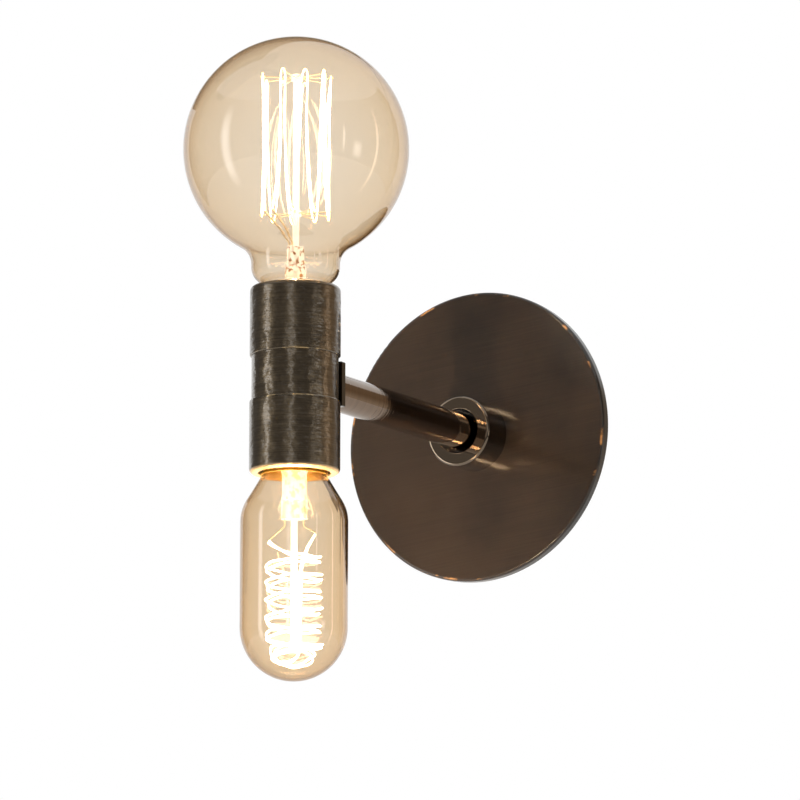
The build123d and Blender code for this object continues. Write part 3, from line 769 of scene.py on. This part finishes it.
def thicken(piece, skin):
    """Gives a thin wall its thickness and smooth shading."""
    solid = piece.modifiers.new("wall", "SOLIDIFY")
    solid.thickness = skin
    solid.offset = 0.0
    bpy.ops.object.modifier_apply(modifier=solid.name)
    bpy.ops.object.shade_smooth_by_angle(angle=smooth_below)


# Rolling leaves a satin yellow skin, which stains a little.
pressed_brass, tree = new_material("rolled_brass")
place = add(tree, "TexCoord").outputs["Object"]
stain = add(tree, "TexNoise", {"Vector": place, "Scale": 1 / brass_stain, "Detail": 3.0})
tone = add(tree, "ValToRGB", {"Fac": stain.outputs["Fac"]}, stops=rolled_tones)
sheen = add(tree, "MapRange", {"Value": stain.outputs["Fac"], "To Min": 0.25, "To Max": 0.45})
rolled = add(
    tree,
    "BsdfPrincipled",
    {"Base Color": tone.outputs["Color"], "Metallic": 1.0, "Roughness": sheen.outputs["Result"]},
)
add(tree, "OutputMaterial", {"Surface": rolled.outputs[0]})

wall_rings = round((shell_wall_end - shell_wall_start) / ring_step)
for half, side in (("upper", 1), ("lower", -1)):
    outline = [(shell_eye, shell_foot), (shell_foot_radius, shell_foot)]
    for ring in range(wall_rings + 1):
        outline.append((shell_crest, shell_wall_start + ring * ring_step))
    outline.extend(shell_lip)
    shell = turn_on_lathe(f"{half}_rolled_shell", [(radius, side * height) for radius, height in outline])
    roll_thread(shell, shell_wall_start, shell_wall_end, shell_thread_depth)
    thicken(shell, shell_skin)
    shell.data.materials.append(pressed_brass)
    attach(shell, "fixture")
    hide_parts(f"{half}_screw_shell")

# Leads
# Stranded copper in soft plastic, black for the live side and white for the neutral side.
# They run from the lampholders through the arm to the hub.
plastic_wave = 0.004

# The drawn plastic has a low sheen and faint waves.
for name, dark, pale, side in (
    ("black_lead_plastic", "#17171a", "#242427", "hot"),
    ("white_lead_plastic", "#d9d6cd", "#e6e3da", "neutral"),
):
    plastic = mottled(name, plastic_wave, dark, pale, {"Roughness": 0.45})
    dress(plastic, f"upper_{side}_lead", f"lower_{side}_lead")

# Lamp caps
# The lamps' screw bases: brass like the shells, with the thread rolled the other way out, a plain skirt
# round the glass neck and a cone down to the black glass. The tube's skirt flares out over its glass.
cap_skin = 0.0003
cap_crest = 0.01285
cap_thread_depth = -0.0005
cap_cone_end = (0.0086, 0.01725)
cap_wall_start = 0.0205
cap_shoulder = (cap_crest - 0.0005, cap_wall_start - 0.0005)
cap_thread_end = 0.0322
cap_rim = 0.0384
tube_skirt = (
    (0.0129, 0.0390),
    (0.01335, 0.0395),
    (0.01338, 0.0400),
    (0.0138, 0.0405),
    (0.0140, 0.0412),
)

wall_rings = round((cap_thread_end - cap_wall_start) / ring_step)
for lamp, side, skirt in (("globe", 1, ()), ("tube", -1, tube_skirt)):
    outline = [cap_cone_end, cap_shoulder]
    for ring in range(wall_rings + 1):
        outline.append((cap_crest, cap_wall_start + ring * ring_step))
    outline.append((cap_crest, cap_rim))
    outline.extend(skirt)
    cap = turn_on_lathe(f"{lamp}_rolled_cap", [(radius, side * height) for radius, height in outline])
    roll_thread(cap, cap_wall_start, cap_thread_end, cap_thread_depth)
    thicken(cap, cap_skin)
    cap.data.materials.append(pressed_brass)
    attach(cap, f"{lamp}_lamp")
    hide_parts(f"{lamp}_cap")

# Cap bottoms
# A ring of black glass is melted into each cap and closes it.
# In its middle a drop of solder ends one of the lamp's wires.
flow_mark = 0.003
black_finish = {"Metallic": 0.0, "Roughness": 0.12}
solder_finish = {"Metallic": 1.0, "Roughness": 0.35}

# The glass is nearly black and glossy, and the solder is a dull grey.
for name, dark, pale, finish, part in (
    ("black_glass", "#0d0b0c", "#1c191b", black_finish, "cap_insulator"),
    ("tin_solder", "#8f9090", "#b4b5b4", solder_finish, "cap_tip"),
):
    bottom = mottled(name, flow_mark, dark, pale, finish)
    dress(bottom, f"globe_{part}", f"tube_{part}")

# Lamp glass
# Blown soda-lime glass with an amber tint: pale where one looks straight through both walls,
# brown at the rims where one looks along the wall. The tubular lamp is blown from a deeper tint.
# Each is melted to its stem and cemented into its cap.
rim_share = 0.35
rim_tints = {0.0: "#fefcf8", 0.4: "#fbf5ea", 0.6: "#f0e2cc", 0.7: "#c09a6c", 1.0: "#3a2a1a"}
glass_shade = "#fcf6ec"
globe_amber = (0.6, 0.41, 0.13, 1.0)
globe_density = 390.0
globe_clearness = 0.988
tube_amber = (0.7, 0.47, 0.13, 1.0)
tube_density = 560.0
tube_clearness = 0.997


def let_light_through(tree, glass, shade):
    """Glass whose shadow is only a faint tint, because light goes straight through its thin wall."""
    open_way = add(tree, "BsdfTransparent", {"Color": linear(shade)})
    from_light = add(tree, "LightPath").outputs["Is Shadow Ray"]
    return add(tree, "MixShader", {0: from_light, 1: glass.outputs[0], 2: open_way.outputs[0]}).outputs[0]


for lamp, name, amber, density, clearness in (
    ("globe", "amber_blown_glass", globe_amber, globe_density, globe_clearness),
    ("tube", "deep_amber_blown_glass", tube_amber, tube_density, tube_clearness),
):
    amber_glass, tree = new_material(name)
    grazing = add(tree, "LayerWeight", {"Blend": rim_share}).outputs["Facing"]
    tint = add(tree, "ValToRGB", {"Fac": grazing}, stops=rim_tints)
    glass = add(
        tree,
        "BsdfPrincipled",
        {
            "Base Color": tint.outputs["Color"],
            "Roughness": 0.0,
            "IOR": 1.5,
            "Transmission Weight": clearness,
        },
    )
    lit = let_light_through(tree, glass, glass_shade)
    absorbed = add(tree, "VolumeAbsorption", {"Color": amber, "Density": density})
    add(tree, "OutputMaterial", {"Surface": lit, "Volume": absorbed.outputs[0]})
    dress(amber_glass, f"{lamp}_envelope")

# Stems
# Clear lead-glass tubes, flared into the necks and pressed flat round the wires while hot, which
# leaves their faces wavy, milky and stained by the wires. A thin exhaust tube stands inside each.
# The milky glass is given a faint emission, a painted glow that stands for the filament's light scattered in
# it.
press_wave = 0.0022
stain_until = 0.38
clear_from = 0.5
stem_clear = "#fffaf0"
stem_shade = "#fdfbf6"
globe_stain = "#8f5c22"
globe_press = 0.0575
globe_stem_clearness = 0.55
globe_painted_glow = 0.4
globe_exhaust_start = 0.0478
tube_stain = "#f6e0b4"
tube_press = 0.0605
tube_stem_clearness = 0.4
tube_painted_glow = 0.7
tube_exhaust_start = -0.0512
exhaust_radius = 0.0016
exhaust_skin = 0.0005
exhaust_end = 0.024

stem_glasses = {}
for lamp, name, stain, press, clearness, painted_glow in (
    ("globe", "stained_stem_glass", globe_stain, globe_press, globe_stem_clearness, globe_painted_glow),
    ("tube", "milky_stem_glass", tube_stain, tube_press, tube_stem_clearness, tube_painted_glow),
):
    stem_glass, tree = new_material(name)
    place = add(tree, "TexCoord").outputs["Object"]
    wave = add(tree, "TexNoise", {"Vector": place, "Scale": 1 / press_wave, "Detail": 1.0})
    height = add(tree, "SeparateXYZ", {0: place})
    level = add(tree, "Math", {0: height.outputs["Z"]}, operation="ABSOLUTE")
    above = add(
        tree,
        "MapRange",
        {"Value": level.outputs[0], "From Min": press - press_wave, "From Max": press},
    )
    patch = add(tree, "Math", {0: wave.outputs["Fac"], 1: above.outputs["Result"]}, operation="MAXIMUM")
    tint = add(
        tree,
        "ValToRGB",
        {"Fac": patch.outputs[0]},
        stops={stain_until: stain, clear_from: stem_clear},
    )
    relief = add(tree, "Bump", {"Height": wave.outputs["Fac"], "Strength": 0.6, "Distance": 0.0006})
    glass = add(
        tree,
        "BsdfPrincipled",
        {
            "Base Color": tint.outputs["Color"],
            "Roughness": 0.0,
            "IOR": 1.52,
            "Transmission Weight": clearness,
            "Normal": relief.outputs[0],
            # Painted glow: the filament's light in the milky glass, drawn as emission.
            "Emission Color": tint.outputs["Color"],
            "Emission Strength": painted_glow,
        },
    )
    add(tree, "OutputMaterial", {"Surface": let_light_through(tree, glass, stem_shade)})
    dress(stem_glass, f"{lamp}_stem")
    stem_glasses[lamp] = stem_glass

for lamp, start, end in (
    ("globe", globe_exhaust_start, exhaust_end),
    ("tube", tube_exhaust_start, -exhaust_end),
):
    exhaust = turn_on_lathe(f"{lamp}_exhaust_tube", [(exhaust_radius, start), (exhaust_radius, end)])
    thicken(exhaust, exhaust_skin)
    exhaust.data.materials.append(stem_glasses[lamp])
    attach(exhaust, f"{lamp}_lamp")

# Lead-in wires
# Copper-clad wires that are sealed into each press and run down inside the stem to the cap.
# Each route is given by pairs of its distance to one side of the lamp axis and its height.
lead_in_thickness = 0.0006
globe_side = math.radians(249)
tube_side = math.radians(211)
lead_in_foot = 0.031
globe_outer_route = (
    (0.0032, 0.0564),
    (0.0032, 0.0530),
    (0.0029, 0.0480),
    (0.0026, 0.0420),
    (0.0026, lead_in_foot),
)
globe_inner_route = (
    (0.0018, 0.0564),
    (0.0018, 0.0535),
    (-0.0022, 0.0490),
    (-0.0026, 0.0420),
    (-0.0026, lead_in_foot),
)
tube_left_route = (
    (0.0040, -0.0593),
    (0.0040, -0.0560),
    (0.0036, -0.0500),
    (0.0031, -0.0440),
    (0.0031, -lead_in_foot),
)
tube_right_route = [(-distance, height) for distance, height in tube_left_route]


def round_axis_point(radius, turn, height):
    """A point at a radius and a turn about the lamp axis."""
    return Vector((radius * math.cos(turn), axis_y + radius * math.sin(turn), height))


def wind_wire(name, points, thickness):
    """A round wire on one smooth line past points, as a mesh."""
    bpy.ops.curve.primitive_nurbs_path_add()
    wire = bpy.context.object
    wire.name = name
    wire.data.splines.clear()
    line = wire.data.splines.new("NURBS")
    line.points.add(len(points) - 1)
    for spot, point in zip(line.points, points):
        spot.co = (*point, 1.0)
    line.order_u = 4
    line.use_endpoint_u = True
    line.resolution_u = 5
    wire.data.bevel_depth = thickness / 2
    wire.data.bevel_resolution = 2
    wire.data.use_fill_caps = True
    bpy.ops.object.convert(target="MESH")
    bpy.ops.object.shade_smooth()
    return wire


# The clad wire is copper red, mottled with darker oxide.
copper_finish = {"Metallic": 1.0, "Roughness": 0.3}
clad_copper = mottled("copper_clad_wire", lead_in_thickness, "#7a3f22", "#c98a4e", copper_finish)

for name, lamp, turn, route in (
    ("globe_outer_lead_in", "globe_lamp", globe_side, globe_outer_route),
    ("globe_inner_lead_in", "globe_lamp", globe_side, globe_inner_route),
    ("tube_left_lead_in", "tube_lamp", tube_side, tube_left_route),
    ("tube_right_lead_in", "tube_lamp", tube_side, tube_right_route),
):
    points = [round_axis_point(distance, turn, height) for distance, height in route]
    lead_in = wind_wire(name, points, lead_in_thickness)
    lead_in.data.materials.append(clad_copper)
    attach(lead_in, lamp)

# Wires inside the lamps
# Nickel leads from the press up to the filament, and thin molybdenum hooks that hold it.
# The globe's two leads bow out to the cage's foot. Their routes give radius, turn and height.
wire_mark = 0.002
lead_thickness = 0.0009
globe_lead_routes = {
    "globe_left_lead": (
        (0.0032, globe_side, 0.0566),
        (0.0034, globe_side, 0.0598),
        (0.0094, globe_side - 0.1, 0.0644),
        (0.0145, globe_side - 0.17, 0.0702),
    ),
    "globe_right_lead": (
        (0.0018, globe_side, 0.0566),
        (0.0018, globe_side + 0.1, 0.0604),
        (0.0080, globe_side + 0.16, 0.0656),
        (0.0145, globe_side + 0.17, 0.0702),
    ),
}

# Drawn bright, the wire is painted cream: painted light, which stands for the filament's warm light on it.
nickel_finish = {"Metallic": 0.2, "Roughness": 0.45}
wire_metal = mottled("drawn_nickel_wire", wire_mark, "#ecd6ac", "#fcefd4", nickel_finish)
dress(wire_metal, "globe_supports", "tube_lead_wires", "tube_supports")

for name, route in globe_lead_routes.items():
    lead = wind_wire(name, [round_axis_point(*stop) for stop in route], lead_thickness)
    lead.data.materials.append(wire_metal)
    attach(lead, "globe_lamp")
    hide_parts("globe_lead_wires")

# Cage filament
# One long coiled tungsten wire in the globe lamp, hung up and down between two rings of hooks.
# It sags and bows in its own way between them. White hot, it cools to orange at the hooks.
cage_radius = 0.0145
cage_low = 0.0705
cage_high = 0.129
cage_strands = 18
cage_first = math.radians(259)
cage_sweep_degrees = 340
cage_step = math.radians(cage_sweep_degrees / cage_strands)
cage_bend = 0.0012
cage_bend_rise = 1.6
cage_coil = 0.0006
hook_scatter = 0.0008
strand_bow = 0.0028
outward_bow = 0.4
strand_drift = 0.0024
belly_shares = (0.3, 0.7)
near_hook = 0.15
cage_heat = 60.0
tungsten_grey = "#3a3632"
cage_colours = {0.0: "#b58048", 0.08: "#ffe9c9", 0.92: "#ffe9c9", 1.0: "#b58048"}

chance = random.Random(7)
points = []
hook_shift = 0.0
for strand in range(cage_strands):
    rising = strand % 2 == 0
    start_turn = cage_first + strand * cage_step
    end_turn = start_turn + cage_step
    start_height = (cage_low if rising else cage_high) + hook_shift
    hook_shift = chance.uniform(-1.0, 1.0) * hook_scatter
    end_height = (cage_high if rising else cage_low) + hook_shift
    way = 1 if rising else -1
    bend_turn = cage_bend / cage_radius
    bow = chance.uniform(-1.0, outward_bow) * strand_bow
    drift = chance.uniform(-1.0, 1.0) * strand_drift / cage_radius
    lean = chance.uniform(*belly_shares)
    leave = start_turn + (bend_turn if strand else 0)
    arrive = end_turn - (bend_turn if strand < cage_strands - 1 else 0)
    points.append(round_axis_point(cage_radius, leave, start_height))
    for share in (near_hook, lean, 1 - near_hook):
        belly = math.sin(math.pi * share)
        points.append(round_axis_point(
            cage_radius + bow * belly,
            leave + (arrive - leave) * share + drift * belly,
            start_height + (end_height - start_height) * share,
        ))
    points.append(round_axis_point(cage_radius, arrive, end_height))
    if strand < cage_strands - 1:
        points.append(round_axis_point(cage_radius, end_turn, end_height + way * cage_bend_rise * cage_bend))


def white_hot(name, cold_height, hot_height, colours, heat):
    """Glowing tungsten, whose colour follows its height between two levels."""
    material, tree = new_material(name)
    place = add(tree, "TexCoord").outputs["Object"]
    height = add(tree, "SeparateXYZ", {0: place})
    along = add(
        tree,
        "MapRange",
        {"Value": height.outputs["Z"], "From Min": cold_height, "From Max": hot_height},
    )
    glow = add(tree, "ValToRGB", {"Fac": along.outputs["Result"]}, stops=colours)
    hot = add(
        tree,
        "BsdfPrincipled",
        {
            "Base Color": linear(tungsten_grey),
            "Metallic": 1.0,
            "Roughness": 0.5,
            "Emission Color": glow.outputs["Color"],
            "Emission Strength": heat,
        },
    )
    add(tree, "OutputMaterial", {"Surface": hot.outputs[0]})
    return material


hot_cage = white_hot("white_hot_tungsten_cage", cage_low, cage_high, cage_colours, cage_heat)
cage = wind_wire("globe_cage_filament", points, cage_coil)
cage.data.materials.append(hot_cage)
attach(cage, "globe_lamp")
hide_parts("globe_filament")

# Spiral filament
# Two coiled tungsten wires side by side in the tubular lamp, wound on a round former in wide turns, with a
# straight run back up the middle. The turns have sprung a little out of true, and the last one leans.
spiral_start = 0.0687
spiral_first_drop = 0.0031
spiral_opening = 0.5
spiral_pitch = 0.0073
spiral_turns = 7.2
spiral_flat_from = 6.1
first_width = 0.0104
full_width = 0.0123
last_width = 0.0088
ring_from = 5.7
ring_settle = 0.5
ring_lean = math.tan(math.radians(20))
ring_side = math.radians(301)
spiral_strands = (("tube_spiral_filament", 0.0, 0.0), ("second_strand", 0.0021, 0.0008))
spiral_coil = 0.0008
spiral_stray = 0.0009
turn_points = 12
return_offset = 0.0026
return_swing = 0.9
return_dip = 0.003
return_far = 0.1153
return_near = 0.0755
return_shares = (0.0, 0.3, 0.65, 1.0)
return_end_offset = 0.0088
return_end = 0.0657
spiral_heat = 95.0
spiral_colours = {0.0: "#efc48e", 1.0: "#fff0da"}

strands = []
for name, lag, slack in spiral_strands:
    points = []
    for step in range(round(spiral_turns * turn_points) + 1):
        turn = step / turn_points
        opening = min(turn / spiral_opening, 1.0)
        closing = min(max(turn - ring_from, 0.0) / ring_settle, 1.0)
        around = tube_side - 2 * math.pi * turn
        radius = first_width + (full_width - first_width) * opening + (last_width - full_width) * closing
        radius += chance.uniform(-1, 1) * spiral_stray - slack * opening
        height = spiral_start + spiral_pitch * min(turn, spiral_flat_from) + spiral_first_drop * opening
        height += chance.uniform(-1, 1) * spiral_stray + lag * opening
        height -= ring_lean * closing * radius * math.cos(around - ring_side)
        points.append(round_axis_point(radius, around, -height))
    points.append(round_axis_point(-return_offset, tube_side - return_swing, -return_far - return_dip))
    for share in return_shares:
        stray = chance.uniform(-1, 1) * spiral_stray
        height = return_far + (return_near - return_far) * share
        points.append(round_axis_point(-return_offset + stray, tube_side, -height))
    points.append(round_axis_point(-return_end_offset, tube_side, -return_end))
    strands.append(wind_wire(name, points, spiral_coil))

hot_from = -spiral_start - spiral_pitch
hot_spiral = white_hot("white_hot_tungsten_spiral", -return_end, hot_from, spiral_colours, spiral_heat)
bpy.ops.object.select_all(action="DESELECT")
for strand in strands:
    strand.select_set(True)
spiral = strands[0]
bpy.context.view_layer.objects.active = spiral
bpy.ops.object.join()
spiral.data.materials.append(hot_spiral)
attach(spiral, "tube_lamp")
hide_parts("tube_filament")

# Lamp light
# The filaments light the plate, the arm and the collar. The wires are too thin to do that well in a
# render, so a soft ball of warm light stands among them. The lamps' own glass and wires, which glow by
# themselves, neither take nor stop it.
glow_radius = 0.012
glow_tint = "#ffe2c0"
globe_glow_height = 0.1
globe_glow_power = 0.12
tube_glow_height = -0.094
tube_glow_power = 1.0

lamp_insides = bpy.data.collections.new("lamp_insides")
for piece in bpy.context.scene.objects:
    if piece.name.startswith(("globe_", "tube_")) and "_cap" not in piece.name:
        lamp_insides.objects.link(piece)
for member in lamp_insides.collection_objects:
    member.light_linking.link_state = "EXCLUDE"
for name, height, power in (
    ("upper_glow", globe_glow_height, globe_glow_power),
    ("lower_glow", tube_glow_height, tube_glow_power),
):
    bpy.ops.object.light_add(type="POINT", radius=glow_radius, location=(0, axis_y, height))
    light = bpy.context.object
    light.name = name
    light.data.energy = power
    light.data.color = linear(glow_tint)[:3]
    light.visible_camera = False
    light.visible_transmission = False
    light.light_linking.receiver_collection = lamp_insides
    light.light_linking.blocker_collection = lamp_insides
